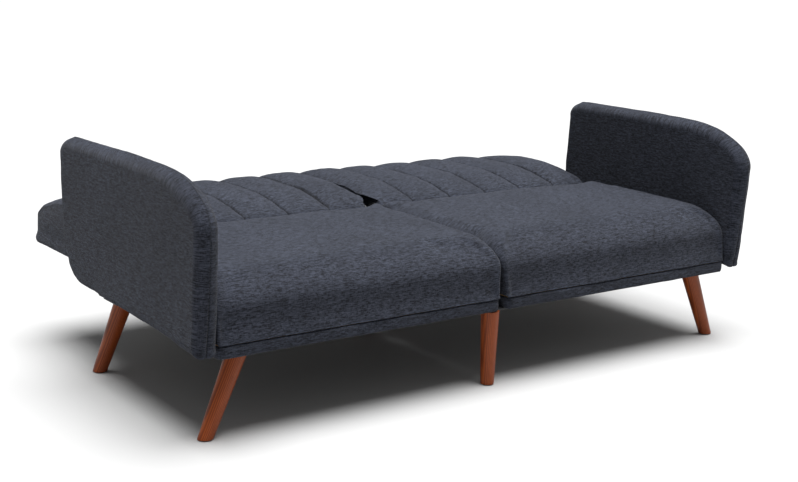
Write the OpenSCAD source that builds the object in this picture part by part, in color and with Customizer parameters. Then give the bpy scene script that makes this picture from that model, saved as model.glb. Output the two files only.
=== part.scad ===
/* [Overall] */
// Clear width between the two arms
inner_w = 1790; // [1700:10:1900]
// Height of the underside of the seat frames
base_z = 218; // [210:1:226]

/* [Seats] */
// Depth of a seat cushion, front to back
seat_d = 612; // [608:1:616]
// Height of the top of the seats
seat_z = 412; // [404:1:414]
// Height of the band along the bottom of a seat
band_h = 32; // [28:1:34]
// Height of the front and rear rails
rail_h = 72; // [66:1:74]
// Thickness of the timber rails
rail_t = 28; // [24:1:28]

/* [Backs] */
// Hinge axis, distance behind the seat front
axis_y = 672; // [670:1:676]
// Hinge axis, height above the floor
axis_z = 365; // [364:1:368]
// Reach of a flat back behind the hinge axis
back_reach = 465; // [440:1:490]
// Height of the top of a flat back
back_z = 441; // [430:1:442]
// Height of the underside of a flat back
back_base_z = 285; // [284:1:288]
// Radius of the rounded nose of a back
nose_r = 55; // [50:1:56]

/* [Arms] */
// Thickness of an arm
arm_t = 62; // [60:1:75]
// Height of the top of the arms
arm_z = 670; // [660:1:690]
// How far the arms stand in front of the seats
arm_front = 36; // [34:1:50]
// Thickness of the board inside an arm
core_t = 40; // [30:1:42]

/* [Legs] */
// Radius of a leg at the floor
foot_r = 19; // [17:0.5:21]
// Radius of a leg at its top
leg_top_r = 26; // [24:0.5:27]
// Thickness of the leg plates
plate_t = 3; // [3:0.5:4]

/* [Hinges] */
// Thickness of the hinge plates
hinge_t = 4; // [3.5:0.5:4]
// Radius of the toothed disc
disc_r = 34; // [33:0.5:35]
// Radius of the hinge pin
hinge_pin_r = 8; // [6:0.5:9]
// Radius of the pawl pin
pawl_pin_r = 5; // [4:0.5:5]
// Running clearance of a pin, on the radius
run = 0.05; // [0.02:0.01:0.08]
// Angle of a back in the lounging position
lounge_a = 40; // [36:1:42]
// Angle of a back in the sitting position
upright_a = 78; // [74:1:80]

/* [Springs] */
// Width of the spring wire
wire = 4; // [3:0.5:5]
// Number of sinuous springs in a seat
seat_springs = 5; // [4:1:6]
// Number of sinuous springs in a back
back_springs = 5; // [4:1:6]

/* [Hidden] */
$fn = 48;
half_w = inner_w / 2;
frame_in = 18;
frame_out = half_w - 10.5;
frame_mid = frame_in + frame_out;
back_in = frame_mid - frame_out + 4.5;
back_out = frame_out - 4.5;
stile_out = back_out - 4;
stile_in = back_in + 4;
cushion_out = frame_out + 4.5;
cushion_in = frame_in - 4.5;
wide_out = half_w - 5.5;
wide_in = 7;
rail_top = base_z + rail_h;
tail_y = 700;
tail_h = 32;
main_rear_y = seat_d - 6;
back_rear = axis_y + back_reach;
y_mid = (back_rear - arm_front) / 2;
cover_t = 1;
sole_z = base_z - cover_t;
plate_z = sole_z - plate_t;
glide_h = 3;
pawl_arm = 36;
pawl_seat_a = 250;
pawl_gap = 0.4;
pawl_root = [axis_y, axis_z] + (disc_r + pawl_gap) * dir(pawl_seat_a) + pawl_arm * dir(pawl_seat_a - 90);
eps = 0.1;
fabric = "#3d4452";
timber = "#c9a878";
legwood = "#7a3a20";
steel = "#8a8d90";

// Legs as [top x, top y, foot x, foot y], mirrored where both sides have one
front_leg = [half_w - 91, 64, half_w + 2, 60];
rear_leg = [half_w - 53, 628, half_w, 686];
centre_front_leg = [-26, 31, -26, 31];
centre_rear_leg = [-26, 628, -26, 628];
corner_screws = [for (x = [-32, 32]) for (y = [-32, 32]) [x, y]];
arm_bolt_y = [110, 290, 450];
arm_bolt_z = 270;
plate_bolts = [[515, 270], [570, 270]];
stile_bolts = [[775, 322], [830, 322]];

function dir(a) = [cos(a), sin(a)];
function arc(c, rx, ry, a0, a1, n) =
  [for (i = [0:n]) [c[0] + rx * cos(a0 + (a1 - a0) * i / n), c[1] + ry * sin(a0 + (a1 - a0) * i / n)]];

// Everything is drawn for the right side; the left side is its mirror image
module side(s) {
  if (s < 0) translate([0, -y_mid, 0]) mirror([1, 0, 0]) children();
  else translate([0, -y_mid, 0]) children();
}
module both() {
  side(1) children();
  side(-1) children();
}
// A hinge at the outer end of a seat, and its mirror image at the inner end
module outer_inner() {
  children();
  translate([frame_mid, 0, 0]) mirror([1, 0, 0]) children();
}
module inner_end() translate([frame_mid, 0, 0]) mirror([1, 0, 0]) children();
// A block between two opposite corners
module block(a, b) translate(a) cube(b - a);
// An outline in the Y-Z plane, from x0 to x1
module slab(x0, x1) translate([x0, 0, 0]) rotate([90, 0, 90]) linear_extrude(x1 - x0) children();
// A rod along X through the point [y, z]
module rod(p, r, x0, x1) translate([x0, p[0], p[1]]) rotate([0, 90, 0]) cylinder(h = x1 - x0, r = r);

// Axis frame of a leg: the children's +Z runs from the foot to the top
module along_leg(l) {
  rise = plate_z;
  run_x = l[0] - l[2];
  run_y = l[1] - l[3];
  tilt = acos(rise / norm([run_x, run_y, rise]));
  translate([l[2], l[3], 0]) rotate([0, tilt, atan2(run_y, run_x)]) children();
}
function leg_len(l) = norm([l[0] - l[2], l[1] - l[3], plate_z]);
module leg(l) color(legwood) intersection() {
  along_leg(l) translate([0, 0, -20]) rotate(90)
    cylinder(h = leg_len(l) + 40, r1 = foot_r - 0.6, r2 = leg_top_r + 0.8);
  block([l[2] - 150, l[3] - 150, glide_h], [l[2] + 150, l[3] + 150, plate_z]);
}
module hanger(l, r) along_leg(l) translate([0, 0, leg_len(l) - 36]) rotate(35) cylinder(h = 60, r = r);
module hangers(r) {
  both() hanger(front_leg, r);
  both() hanger(rear_leg, r);
  side(1) hanger(centre_front_leg, r);
  side(1) hanger(centre_rear_leg, r);
}
// Screw places of a splayed leg's plate and of a centre plate
module corner_screw_places() both() for (l = [front_leg, rear_leg]) for (p = corner_screws)
  translate([l[0] + p[0], l[1] + p[1], 0]) children();
module centre_screw_places() both() {
  for (y = [32, 92]) translate([80, y, 0]) children();
  translate([28, 92, 0]) children();
  for (y = [596, 660]) translate([80, y, 0]) children();
  translate([28, 596, 0]) children();
}
module screw_places() {
  corner_screw_places() children();
  centre_screw_places() children();
}
module screw_shanks(r) screw_places() translate([0, 0, plate_z]) cylinder(h = 26, r = r);
// What passes through the timber and the dust cover from below
module from_below(screw_r, bolt_r) {
  screw_shanks(screw_r);
  hangers(bolt_r);
}
module arm_rods(r, x0, x1) both() for (y = arm_bolt_y) rod([y, arm_bolt_z], r, x0, x1);
module timber_part(s) color(timber) difference() {
  side(s) children();
  from_below(2.2, 4.3);
}

// Seat frames
module seat_front_rail(s) timber_part(s)
  block([frame_in, frame_in, base_z], [frame_out, frame_in + rail_t, rail_top]);
module seat_rear_rail(s) timber_part(s)
  block([frame_in + rail_t, main_rear_y - rail_t, base_z], [frame_out - rail_t, main_rear_y, rail_top]);
module seat_tail_rail(s) timber_part(s)
  block([frame_in, tail_y - rail_t, base_z], [frame_out, tail_y, base_z + tail_h]);
module end_rail_profile() polygon([
  [frame_in + rail_t, base_z], [tail_y - rail_t, base_z], [tail_y - rail_t, base_z + tail_h],
  [main_rear_y, base_z + tail_h], [main_rear_y, rail_top], [frame_in + rail_t, rail_top]
]);
module seat_end_rails(s) color(timber) difference() {
  side(s) outer_inner() difference() {
    slab(frame_out - rail_t, frame_out) end_rail_profile();
    for (p = plate_bolts) rod(p, 4, frame_out - rail_t - 1, frame_out + 1);
  }
  from_below(2.2, 4.3);
  arm_rods(4.2, frame_out - rail_t - 1, frame_out + 1);
}
module leg_blocks() color(timber) difference() {
  both() {
    block([frame_out - rail_t - 110, frame_in + rail_t, base_z], [frame_out - rail_t, 130, base_z + 40]);
    block([frame_out - rail_t - 80, main_rear_y, base_z], [frame_out - rail_t, tail_y - rail_t, base_z + tail_h]);
    block([frame_in + rail_t, frame_in + rail_t, base_z], [frame_in + rail_t + 64, 130, base_z + 40]);
    block([frame_in + rail_t, main_rear_y, base_z], [frame_in + rail_t + 64, tail_y - rail_t, base_z + tail_h]);
  }
  from_below(2.2, 4.3);
}

// Sinuous spring running along +Y from y0, with bars across X
module sinuous(y0, loops, pitch, bar) translate([0, y0, 0]) linear_extrude(wire) {
  for (i = [0:loops]) translate([-bar / 2 - eps, i * pitch - wire / 2]) square([bar + 2 * eps, wire]);
  for (i = [0:loops - 1]) {
    flip = i % 2 == 0 ? 1 : -1;
    translate([flip * bar / 2, (i + 0.5) * pitch]) intersection() {
      difference() {
        circle(r = pitch / 2 + wire / 2);
        circle(r = pitch / 2 - wire / 2);
      }
      translate([flip > 0 ? 0 : -pitch, -pitch]) square([pitch, 2 * pitch]);
    }
  }
}
module spring_row(count, x0, x1, z) for (i = [1:count])
  translate([x0 + (x1 - x0) * i / (count + 1), 0, z]) children();
module seat_spring_set(s) color(steel) side(s)
  spring_row(seat_springs, frame_in, frame_out, rail_top - 10) sinuous(54, 12, 43, 32);
module back_spring_set(s) color(steel) side(s)
  spring_row(back_springs, stile_in, stile_out, 342) sinuous(684, 9, 42, 32);

// Seat upholstery
module seat_profile() polygon(concat(
  arc([130, seat_z - 78], 130, 70, 180, 90, 12),
  [[300, seat_z]],
  arc([seat_d - 22, seat_z - 22], 22, 22, 90, 0, 5),
  [[seat_d, base_z + band_h], [0, base_z + band_h]]
));
module seat_cushion(s) color(fabric) difference() {
  side(s) difference() {
    slab(cushion_in, cushion_out) seat_profile();
    block([frame_in, frame_in, base_z - 1], [frame_out, main_rear_y, rail_top]);
    outer_inner() block([frame_out - eps, 488, base_z], [cushion_out + 1, seat_d + 1, 352]);
  }
  arm_rods(4.2, frame_out - 1, cushion_out + 1);
}
module seat_band(s) color(fabric) side(s) difference() {
  block([cushion_in + 1, 4, base_z], [cushion_out - 1, tail_y + 4, base_z + band_h]);
  block([frame_in, frame_in, base_z - 1], [frame_out, tail_y, base_z + band_h + 1]);
}
module dust_cover(s) color("#1c1c1e") difference() {
  side(s) block([frame_in + 2, 6, sole_z], [frame_out - 2, tail_y - 2, base_z]);
  from_below(3, 5.5);
}

// Arms
module arm_profile() polygon(concat(
  arc([210, arm_z - 126], 210 + arm_front, 122, 180, 90, 14),
  [[400, arm_z], [560, arm_z - 2]],
  arc([706, arm_z - 48], 62, 44, 80, 0, 6),
  [[775, 450], [768, 350], [740, 298], [692, 264], [200, 246], [0, base_z + 8], [-12, base_z + 9], [-28, 400]]
));
module core_profile() polygon([
  [12, base_z + 26], [690, 270], [728, 318], [742, 450], [724, 590], [676, 636], [210, 640],
  [80, 606], [10, 530], [4, 420]
]);
core_x0 = half_w + 8;
module arm_core(s) color(timber) difference() {
  side(s) slab(core_x0, core_x0 + core_t) core_profile();
  arm_rods(4.1, core_x0 - 1, core_x0 + 32);
}
module arm_pad(s) color(fabric) difference() {
  side(s) difference() {
    slab(half_w, half_w + arm_t) arm_profile();
    slab(core_x0, core_x0 + core_t) core_profile();
  }
  arm_rods(4.2, half_w - 1, core_x0 + 1);
}
module arm_bolts() color(steel) {
  arm_rods(4, frame_out - rail_t - 3, core_x0 + 32);
  arm_rods(8, frame_out - rail_t - 8, frame_out - rail_t - 2);
}
module arm_washers() color(steel) difference() {
  arm_rods(12, frame_out - rail_t - 2, frame_out - rail_t);
  arm_rods(4.2, frame_out - rail_t - 3, frame_out);
}
module arm_spacers() color("#222222") difference() {
  arm_rods(11, cushion_out, half_w);
  arm_rods(4.2, cushion_out - 1, half_w + 1);
}

// Leg fittings
module leg_glides() color("#222222") {
  both() for (l = [front_leg, rear_leg]) translate([l[2], l[3], 0]) cylinder(h = glide_h, r = 14);
  side(1) for (l = [centre_front_leg, centre_rear_leg]) translate([l[2], l[3], 0])
    cylinder(h = glide_h, r = 14);
}
module leg_plates() color(steel) difference() {
  both() for (l = [front_leg, rear_leg])
    block([l[0] - 42, l[1] - 42, plate_z], [l[0] + 42, l[1] + 42, sole_z]);
  from_below(2.5, 5);
}
module centre_plates() color(steel) difference() {
  side(1) for (y = [20, 584]) block([-92, y, plate_z], [92, y + 84, sole_z]);
  from_below(2.5, 5);
}
module hanger_bolts() color(steel) hangers(4);
module plate_screws() color(steel) {
  screw_shanks(2.2);
  screw_places() translate([0, 0, plate_z - 2.2]) cylinder(h = 2.2, r = 4.5);
}

// Hinges, drawn for the outer end of the right seat
seat_plate_x = frame_out;
back_plate_x = frame_out - 0.3 - hinge_t;
head_x = frame_out + hinge_t;
module seat_plate() difference() {
  slab(seat_plate_x, head_x) union() {
    polygon([
      [490, 252], [612, 252], [axis_y + 18, axis_z - 18], [axis_y - 30, axis_z + 26],
      [572, 288], [490, 288]
    ]);
    translate([axis_y, axis_z]) circle(r = 27);
  }
  rod([axis_y, axis_z], hinge_pin_r, seat_plate_x - 1, head_x + 1);
  rod(pawl_root, pawl_pin_r, seat_plate_x - 1, head_x + 1);
  for (p = plate_bolts) rod(p, 4, seat_plate_x - 1, head_x + 1);
}
module seat_hinge_plates() color(steel) both() outer_inner() seat_plate();
module hinge_pins() color(steel) both() outer_inner() {
  rod([axis_y, axis_z], hinge_pin_r, back_plate_x + 0.2, head_x);
  rod([axis_y, axis_z], 12, head_x, head_x + 3.5);
}
module pawl_pins() color(steel) both() outer_inner() {
  rod(pawl_root, pawl_pin_r, back_plate_x + 0.2, head_x + 3);
  rod(pawl_root, 7.5, head_x + 3, head_x + 4.8);
}
module pawl_springs() color("#c9a227") both() outer_inner() {
  difference() {
    rod(pawl_root, 8.6, head_x, head_x + 2.8);
    rod(pawl_root, 6, head_x - 1, head_x + 4);
  }
  block(
    [head_x, pawl_root[0] + 7.2, pawl_root[1] - 26], [head_x + 2, pawl_root[0] + 8.6, pawl_root[1] - 3]
  );
}
module seat_hinge_bolts() color(steel) both() outer_inner() for (p = plate_bolts) {
  rod(p, 4, frame_out - 24, head_x);
  rod(p, 7, head_x, head_x + 3.5);
}
// Toothed disc and arm of the plate fixed to a back
module notch(a) translate([axis_y, axis_z]) rotate(a) translate([disc_r - 6, -4.6]) square([12, 9.2]);
module back_plate() difference() {
  slab(back_plate_x, back_plate_x + hinge_t) difference() {
    union() {
      translate([axis_y, axis_z]) circle(r = disc_r);
      polygon([
        [axis_y, axis_z], [axis_y + 26, axis_z + 21], [762, 342], [850, 342], [850, 302],
        [742, 302], [axis_y + 18, axis_z - 28]
      ]);
    }
    for (a = [0, lounge_a, upright_a]) notch(pawl_seat_a - a);
  }
  rod([axis_y, axis_z], hinge_pin_r + run, back_plate_x - 1, head_x);
  for (p = stile_bolts) rod(p, 4, back_plate_x - 1, head_x);
}
module back_hinge_plates(s) color(steel) side(s) outer_inner() back_plate();
module back_hinge_bolts(s) color(steel) side(s) outer_inner() for (p = stile_bolts) {
  rod(p, 4, stile_out - 22, back_plate_x + hinge_t);
  rod(p, 7, back_plate_x + hinge_t, back_plate_x + hinge_t + 3.2);
}
// Pawl outline: +X runs from its pin to the tooth, +Y towards the disc
module pawl_outline() difference() {
  union() {
    circle(r = 9);
    polygon([[-4, -8], [2, -14], [pawl_arm + 5, -14], [pawl_arm + 5, -5], [12, -5], [6, 6]]);
    translate([pawl_arm - 3, -6]) square([6, 6]);
  }
  circle(r = pawl_pin_r + run);
}
module pawl() color("#b08d57") slab(back_plate_x + 0.2, back_plate_x + hinge_t)
  translate(pawl_root) rotate(pawl_seat_a + 90) pawl_outline();

// Backs
module back_profile() polygon(concat(
  [[back_rear - 140, back_z], [axis_y + 150, back_z], [axis_y + 60, back_z - 9]],
  arc([axis_y, axis_z], nose_r, nose_r, 90, 180, 10),
  [[axis_y - nose_r, axis_z - 50], [axis_y - nose_r + 8, back_base_z + 7], [axis_y - 34, back_base_z]],
  arc([back_rear - 34, back_base_z + 34], 34, 34, 270, 360, 5),
  arc([back_rear - 66, back_z - 70], 66, 64, 0, 80, 7)
));
well_front = axis_y - 27;
well_rear = back_rear - 18;
frame_low = back_base_z + 2;
frame_high = 352;
module back_rails(s) color(timber) side(s) {
  block([stile_in, well_front, frame_low], [stile_out, well_front + rail_t, frame_high]);
  block([stile_in, well_rear - rail_t, frame_low], [stile_out, well_rear, frame_high]);
}
module back_stiles(s) color(timber) side(s) outer_inner() difference() {
  block([stile_out - rail_t, well_front + rail_t, frame_low], [stile_out, well_rear - rail_t, frame_high]);
  for (p = stile_bolts) rod(p, 4, stile_out - rail_t - 1, stile_out + 1);
}
module back_cushion(s) color(fabric) side(s) difference() {
  union() {
    slab(back_in, back_out) back_profile();
    slab(wide_in, wide_out) intersection() {
      back_profile();
      translate([axis_y + 46, back_base_z]) square([back_reach, back_z]);
    }
  }
  block([stile_in, well_front, back_base_z - 1], [stile_out, well_rear, frame_high]);
  outer_inner() slab(back_out, wide_out + 1)
    polygon([[axis_y, 294], [856, 294], [856, 350], [770, 350], [axis_y + 46, 384], [axis_y, 384]]);
  outer_inner() for (p = stile_bolts) rod(p, 4.2, stile_out - 1, back_out + 1);
}
module back_lining(s) color("#1c1c1e") side(s)
  block([stile_in, well_front, back_base_z], [stile_out, well_rear, frame_low]);

seat_front_rail(-1);  // left_seat_front_rail
seat_front_rail(1);  // right_seat_front_rail
seat_rear_rail(-1);  // left_seat_rear_rail
seat_rear_rail(1);  // right_seat_rear_rail
seat_end_rails(-1);  // left_seat_end_rails
seat_end_rails(1);  // right_seat_end_rails
seat_tail_rail(-1);  // left_seat_tail_rail
seat_tail_rail(1);  // right_seat_tail_rail
leg_blocks();
seat_spring_set(-1);  // left_seat_springs
seat_spring_set(1);  // right_seat_springs
seat_cushion(-1);  // left_seat_cushion
seat_cushion(1);  // right_seat_cushion
seat_band(-1);  // left_seat_band
seat_band(1);  // right_seat_band
dust_cover(-1);  // left_dust_cover
dust_cover(1);  // right_dust_cover
arm_core(-1);  // left_arm_core
arm_core(1);  // right_arm_core
arm_pad(-1);  // left_arm_pad
arm_pad(1);  // right_arm_pad
arm_bolts();
arm_washers();
arm_spacers();
side(-1) leg(front_leg);  // front_left_leg
side(1) leg(front_leg);  // front_right_leg
side(-1) leg(rear_leg);  // rear_left_leg
side(1) leg(rear_leg);  // rear_right_leg
side(1) leg(centre_front_leg);
side(1) leg(centre_rear_leg);
leg_glides();
leg_plates();
centre_plates();
hanger_bolts();
plate_screws();
seat_hinge_plates();
hinge_pins();
pawl_pins();
pawl_springs();
seat_hinge_bolts();
side(-1) pawl();  // left_outer_pawl
side(-1) inner_end() pawl();  // left_inner_pawl
side(1) pawl();  // right_outer_pawl
side(1) inner_end() pawl();  // right_inner_pawl
back_rails(-1);  // left_back_rails
back_rails(1);  // right_back_rails
back_stiles(-1);  // left_back_stiles
back_stiles(1);  // right_back_stiles
back_spring_set(-1);  // left_back_springs
back_spring_set(1);  // right_back_springs
back_cushion(-1);  // left_back_cushion
back_cushion(1);  // right_back_cushion
back_lining(-1);  // left_back_lining
back_lining(1);  // right_back_lining
back_hinge_plates(-1);  // left_back_hinge_plates
back_hinge_plates(1);  // right_back_hinge_plates
back_hinge_bolts(-1);  // left_back_hinge_bolts
back_hinge_bolts(1);  // right_back_hinge_bolts
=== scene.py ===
import math
import bpy
import numpy as np
from mathutils import Matrix, Vector


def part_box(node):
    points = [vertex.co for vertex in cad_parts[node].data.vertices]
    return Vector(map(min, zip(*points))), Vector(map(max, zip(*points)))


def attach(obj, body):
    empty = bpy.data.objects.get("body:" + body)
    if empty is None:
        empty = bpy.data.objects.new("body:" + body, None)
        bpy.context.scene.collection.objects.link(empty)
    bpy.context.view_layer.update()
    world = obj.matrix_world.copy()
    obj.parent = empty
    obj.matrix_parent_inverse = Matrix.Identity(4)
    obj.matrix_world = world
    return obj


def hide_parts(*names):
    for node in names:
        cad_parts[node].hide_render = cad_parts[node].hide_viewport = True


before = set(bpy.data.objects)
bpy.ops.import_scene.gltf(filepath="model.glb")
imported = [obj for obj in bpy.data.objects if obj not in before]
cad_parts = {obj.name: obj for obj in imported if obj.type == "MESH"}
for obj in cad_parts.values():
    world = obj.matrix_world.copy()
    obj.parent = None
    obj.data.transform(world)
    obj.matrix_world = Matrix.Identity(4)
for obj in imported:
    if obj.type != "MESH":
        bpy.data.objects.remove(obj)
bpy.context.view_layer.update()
mm = 0.001
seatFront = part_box("left_seat_cushion")[0].y   # the depths in the settings are measured from here
print("frame loaded:", len(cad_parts), "nodes")

# Camera

cameraPlace = {"spot": (-2.4327, -3.3894, 1.2514), "yaw": 36.59, "pitch": 14.28, "roll": 1.70,
               "lens": 63.27, "shift": (-0.0149, 0.0463)}


def makeCamera(s):
    yaw, pitch, roll = (math.radians(s[k]) for k in ("yaw", "pitch", "roll"))
    ahead = Vector((math.sin(yaw) * math.cos(pitch), math.cos(yaw) * math.cos(pitch), -math.sin(pitch)))
    level = Vector((math.cos(yaw), -math.sin(yaw), 0))
    above = level.cross(ahead)
    right = level * math.cos(roll) + above * math.sin(roll)
    up = above * math.cos(roll) - level * math.sin(roll)
    data = bpy.data.cameras.new("camera")
    data.lens, data.sensor_width = s["lens"], 36
    data.shift_x, data.shift_y = s["shift"]
    data.clip_start, data.clip_end = 0.1, 60
    camera = bpy.data.objects.new("camera", data)
    bpy.context.scene.collection.objects.link(camera)
    camera.matrix_world = Matrix.Translation(s["spot"]) @ Matrix((right, up, -ahead)).transposed().to_4x4()
    bpy.context.scene.camera = camera


makeCamera(cameraPlace)

# Material building


def startMaterial(name, **fixed):
    material = bpy.data.materials.new(name)
    material.use_nodes = True
    tree = material.node_tree
    tree.nodes.clear()
    shader = tree.nodes.new("ShaderNodeBsdfPrincipled")
    output = tree.nodes.new("ShaderNodeOutputMaterial")
    tree.links.new(shader.outputs[0], output.inputs[0])
    for socket, value in fixed.items():
        shader.inputs[socket.replace("_", " ")].default_value = value
    return material, tree, shader


def add(tree, kind, links=(), **settings):
    # One node: links are (input, source socket or plain value), settings are the node's own properties
    node = tree.nodes.new(kind)
    for key, value in settings.items():
        setattr(node, key, value)
    for socket, source in links:
        if isinstance(source, bpy.types.NodeSocket):
            tree.links.new(source, node.inputs[socket])
        else:
            node.inputs[socket].default_value = source
    return node


def calc(tree, operation, a, b=0.0):
    return add(tree, "ShaderNodeMath", [(0, a), (1, b)], operation=operation).outputs[0]


def remap(tree, value, fromLow, fromHigh, toLow=0.0, toHigh=1.0):
    links = [(0, value), (1, fromLow), (2, fromHigh), (3, toLow), (4, toHigh)]
    return add(tree, "ShaderNodeMapRange", links).outputs[0]


def stretched(tree, vector, scale, turn=(0, 0, 0), shift=(0, 0, 0)):
    links = [("Vector", vector), ("Location", shift), ("Rotation", turn), ("Scale", scale)]
    return add(tree, "ShaderNodeMapping", links).outputs[0]


def noiseOf(tree, vector, scale=1.0, detail=2.0, rough=0.5):
    links = [("Vector", vector), ("Scale", scale), ("Detail", detail), ("Roughness", rough)]
    return add(tree, "ShaderNodeTexNoise", links).outputs[0]


def mixColour(tree, factor, low, high, blend="MIX"):
    links = [(0, factor), (6, low), (7, high)]
    return add(tree, "ShaderNodeMix", links, data_type="RGBA", blend_type=blend).outputs[2]


def bumpInto(tree, shader, height, distance, strength=1.0):
    bump = add(tree, "ShaderNodeBump", [("Height", height), ("Distance", distance), ("Strength", strength)])
    tree.links.new(bump.outputs[0], shader.inputs["Normal"])


def shaderGroup(name, inputs, outputs):
    tree = bpy.data.node_groups.new(name, "ShaderNodeTree")
    for way, labels in (("INPUT", inputs), ("OUTPUT", outputs)):
        for label in labels:
            kind = "NodeSocketVector" if label == "Vector" else "NodeSocketFloat"
            tree.interface.new_socket(label, in_out=way, socket_type=kind)
    return tree, add(tree, "NodeGroupInput").outputs, add(tree, "NodeGroupOutput").inputs


def place(tree, group, **values):
    node = tree.nodes.new("ShaderNodeGroup")
    node.node_tree = group
    for key, value in values.items():
        socket = node.inputs[key.replace("_", " ")]
        if isinstance(value, bpy.types.NodeSocket):
            tree.links.new(value, socket)
        else:
            socket.default_value = value
    return node.outputs


def linenWeaveGroup():
    # Slubbed plain weave on a surface map in metres: the long threads run along X, the short ones along Y
    tree, given, result = shaderGroup("linen weave", ("Vector", "Thread Pitch", "Slub Length", "Slub Width"),
                                      ("Shade", "Height"))
    cells = add(tree, "ShaderNodeVectorMath", [(0, given["Vector"])], operation="SCALE")
    tree.links.new(calc(tree, "DIVIDE", 2 * math.pi, given["Thread Pitch"]), cells.inputs["Scale"])
    thread = add(tree, "ShaderNodeSeparateXYZ", [(0, cells.outputs[0])]).outputs
    warp = calc(tree, "SINE", thread[0])
    weft = calc(tree, "SINE", thread[1])
    plain = calc(tree, "MULTIPLY", warp, weft)
    along = calc(tree, "DIVIDE", 1.0, given["Slub Length"])
    across = calc(tree, "DIVIDE", 1.0, given["Slub Width"])
    # Slubs along the long threads, slubs along the short ones, and long slow streaks
    slubs = []
    for first, second, times, shift, share in ((along, across, 1.0, 0.0, 0.5), (across, along, 1.0, 7.3, 0.2),
                                               (along, across, 0.38, 3.1, 0.3)):
        sizes = [(k, calc(tree, "MULTIPLY", size, times)) for k, size in enumerate((first, second))]
        scale = add(tree, "ShaderNodeCombineXYZ", sizes + [(2, 1.0)]).outputs[0]
        moved = add(tree, "ShaderNodeVectorMath", [(0, given["Vector"]), (1, scale)], operation="MULTIPLY")
        shifted = add(tree, "ShaderNodeVectorMath", [(0, moved.outputs[0]), (1, (shift, shift, 0))])
        slubs.append(calc(tree, "MULTIPLY", noiseOf(tree, shifted.outputs[0], 1.0, 3.0, 0.62), share))
    slubbed = calc(tree, "ADD", calc(tree, "ADD", slubs[0], slubs[1]), slubs[2])
    tree.links.new(remap(tree, slubbed, 0.435, 0.58), result["Shade"])
    lift = calc(tree, "MULTIPLY", plain, 0.35)
    tree.links.new(calc(tree, "ADD", lift, slubbed), result["Height"])
    return tree


def unevenGroup():
    # Slow change of tone over a whole piece, and small specks, on Object coordinates
    tree, given, result = shaderGroup("uneven tone", ("Patch Size", "Speck Size"), ("Tone", "Specks"))
    here = add(tree, "ShaderNodeTexCoord").outputs["Object"]
    patches = noiseOf(tree, here, calc(tree, "DIVIDE", 1.0, given["Patch Size"]), 3.0)
    specks = noiseOf(tree, here, calc(tree, "DIVIDE", 1.0, given["Speck Size"]), 2.0)
    tree.links.new(remap(tree, patches, 0.3, 0.7), result["Tone"])
    tree.links.new(remap(tree, specks, 0.3, 0.75), result["Specks"])
    return tree


def woodGrainGroup():
    # Long grain along Z of the vector it is given, in metres
    tree, given, result = shaderGroup("wood grain", ("Vector", "Ring Size"), ("Grain", "Pores"))
    ringScale = calc(tree, "DIVIDE", 1.0, given["Ring Size"])
    lazy = stretched(tree, given["Vector"], (1, 1, 0.06))
    sway = add(tree, "ShaderNodeTexNoise", [("Vector", lazy), ("Scale", 28.0), ("Detail", 2.0)]).outputs[1]
    bent = add(tree, "ShaderNodeVectorMath", [(0, sway), (1, (0.012, 0.012, 0.0)), (2, lazy)],
               operation="MULTIPLY_ADD")
    links = [("Vector", bent.outputs[0]), ("Scale", ringScale), ("Distortion", 1.6), ("Detail", 2.0)]
    rings = add(tree, "ShaderNodeTexWave", links, bands_direction="X")
    fibres = noiseOf(tree, stretched(tree, given["Vector"], (900, 900, 14)), 1.0, 3.0, 0.6)
    grain = calc(tree, "ADD", calc(tree, "MULTIPLY", rings.outputs[1], 0.45),
                  calc(tree, "MULTIPLY", fibres, 0.55))
    tree.links.new(grain, result["Grain"])
    pores = noiseOf(tree, stretched(tree, given["Vector"], (2600, 2600, 70)), 1.0, 1.0)
    tree.links.new(remap(tree, pores, 0.6, 0.72), result["Pores"])
    return tree


def scuffGroup():
    # Fine scratches one way and handling marks, for metal and plastic
    tree, given, result = shaderGroup("scuffs", ("Scratch Size",), ("Scratches", "Marks"))
    here = add(tree, "ShaderNodeTexCoord").outputs["Object"]
    scale = calc(tree, "DIVIDE", 1.0, given["Scratch Size"])
    scratches = noiseOf(tree, stretched(tree, here, (1, 0.06, 1), (0, 0, 0.4)), scale, 2.0)
    tree.links.new(scratches, result["Scratches"])
    tree.links.new(remap(tree, noiseOf(tree, here, 45.0, 3.0), 0.45, 0.7), result["Marks"])
    return tree


linenWeave, uneven, woodGrain, scuffs = linenWeaveGroup(), unevenGroup(), woodGrainGroup(), scuffGroup()

linen = {"dark": (0.0008, 0.0009, 0.0018, 1), "light": (0.049, 0.056, 0.079, 1), "weaveDepth": 0.7 * mm,
         "threadPitch": 1.3 * mm, "slubLength": 13 * mm, "slubWidth": 2.4 * mm}


def slateLinenMaterial(s):
    material, tree, shader = startMaterial("slate linen", Roughness=0.92, Sheen_Weight=0.06,
                                           Sheen_Roughness=0.45, Specular_IOR_Level=0.15)
    surface = add(tree, "ShaderNodeUVMap", uv_map="weave").outputs[0]
    cloth = place(tree, linenWeave, Vector=surface, Thread_Pitch=s["threadPitch"],
                  Slub_Length=s["slubLength"], Slub_Width=s["slubWidth"])
    patch = place(tree, uneven, Patch_Size=0.22, Speck_Size=2.2 * mm)
    heather = calc(tree, "ADD", calc(tree, "MULTIPLY", cloth["Shade"], 0.72),
                    calc(tree, "MULTIPLY", patch["Specks"], 0.28))
    threads = mixColour(tree, heather, s["dark"], s["light"])
    toned = mixColour(tree, remap(tree, patch["Tone"], 0, 1, 0.0, 0.22), threads, s["dark"])
    # Painted shade: the cloth is darkened towards black along the seams, where shade falls in the fold
    seamShade = add(tree, "ShaderNodeAttribute", attribute_name="seamShade").outputs["Fac"]
    seamShaded = mixColour(tree, remap(tree, seamShade, 0, 1, 0.0, 0.9), toned, (0.002, 0.002, 0.003, 1))
    tree.links.new(seamShaded, shader.inputs["Base Color"])
    bumpInto(tree, shader, cloth["Height"], s["weaveDepth"], 0.7)
    return material


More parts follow.
